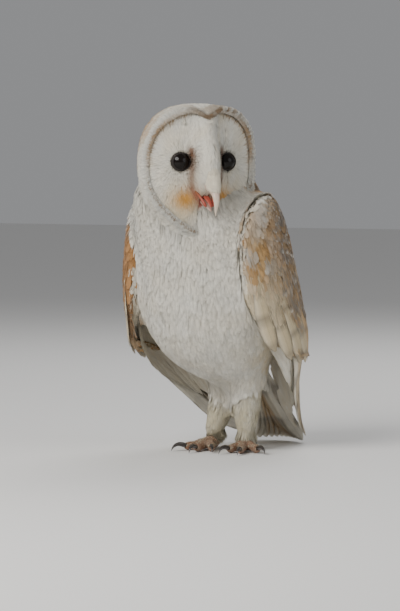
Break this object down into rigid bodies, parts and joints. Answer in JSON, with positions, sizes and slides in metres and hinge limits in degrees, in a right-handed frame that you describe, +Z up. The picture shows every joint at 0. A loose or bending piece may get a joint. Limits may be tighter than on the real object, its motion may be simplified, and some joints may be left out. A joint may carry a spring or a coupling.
{
  "type": "barn owl",
  "caption": "Life-size barn owl standing upright on the floor, head turned over its left shoulder, wings folded, bill slightly open and tail tip resting on the floor.",
  "frame": {"origin": "on the floor, under the middle of the owl's outline", "axes": "+Z up, -Y the way the body and feet face, +X the owl's left"},
  "size_m": [0.1566, 0.1974, 0.2883],
  "materials": {
    "white_plumage": "matt, soft, slightly uneven white body feathers",
    "golden_plumage": "matt golden-buff flight and covert feathers with grey vermiculation",
    "leg_plumage": "short cream leg down",
    "face_plumage": "fine white facial disc feathers with a brown edge",
    "toe_skin": "scaled, slightly glossy grey-brown skin",
    "claw_horn": "smooth dark horn",
    "bill_horn": "smooth ivory-pink horn",
    "mouth_skin": "moist red-pink skin",
    "eye": "wet black, glass-like"
  },
  "bodies": {
    "root": {"bill_lower": "bill_horn", "bill_upper": "bill_horn", "claw_left_hind": "claw_horn", "claw_left_inner": "claw_horn", "claw_left_middle": "claw_horn", "claw_left_outer": "claw_horn", "claw_right_hind": "claw_horn", "claw_right_inner": "claw_horn", "claw_right_middle": "claw_horn", "claw_right_outer": "claw_horn", "eye_left": "eye", "eye_right": "eye", "foot_left": "toe_skin", "foot_right": "toe_skin", "head": "face_plumage", "leg_left": "leg_plumage", "leg_right": "leg_plumage", "neck": "white_plumage", "primaries_left": "golden_plumage", "primaries_right": "golden_plumage", "tail": "golden_plumage", "tongue": "mouth_skin", "trunk": "white_plumage", "wing_left": "golden_plumage", "wing_right": "golden_plumage"}
  },
  "joints": []
}
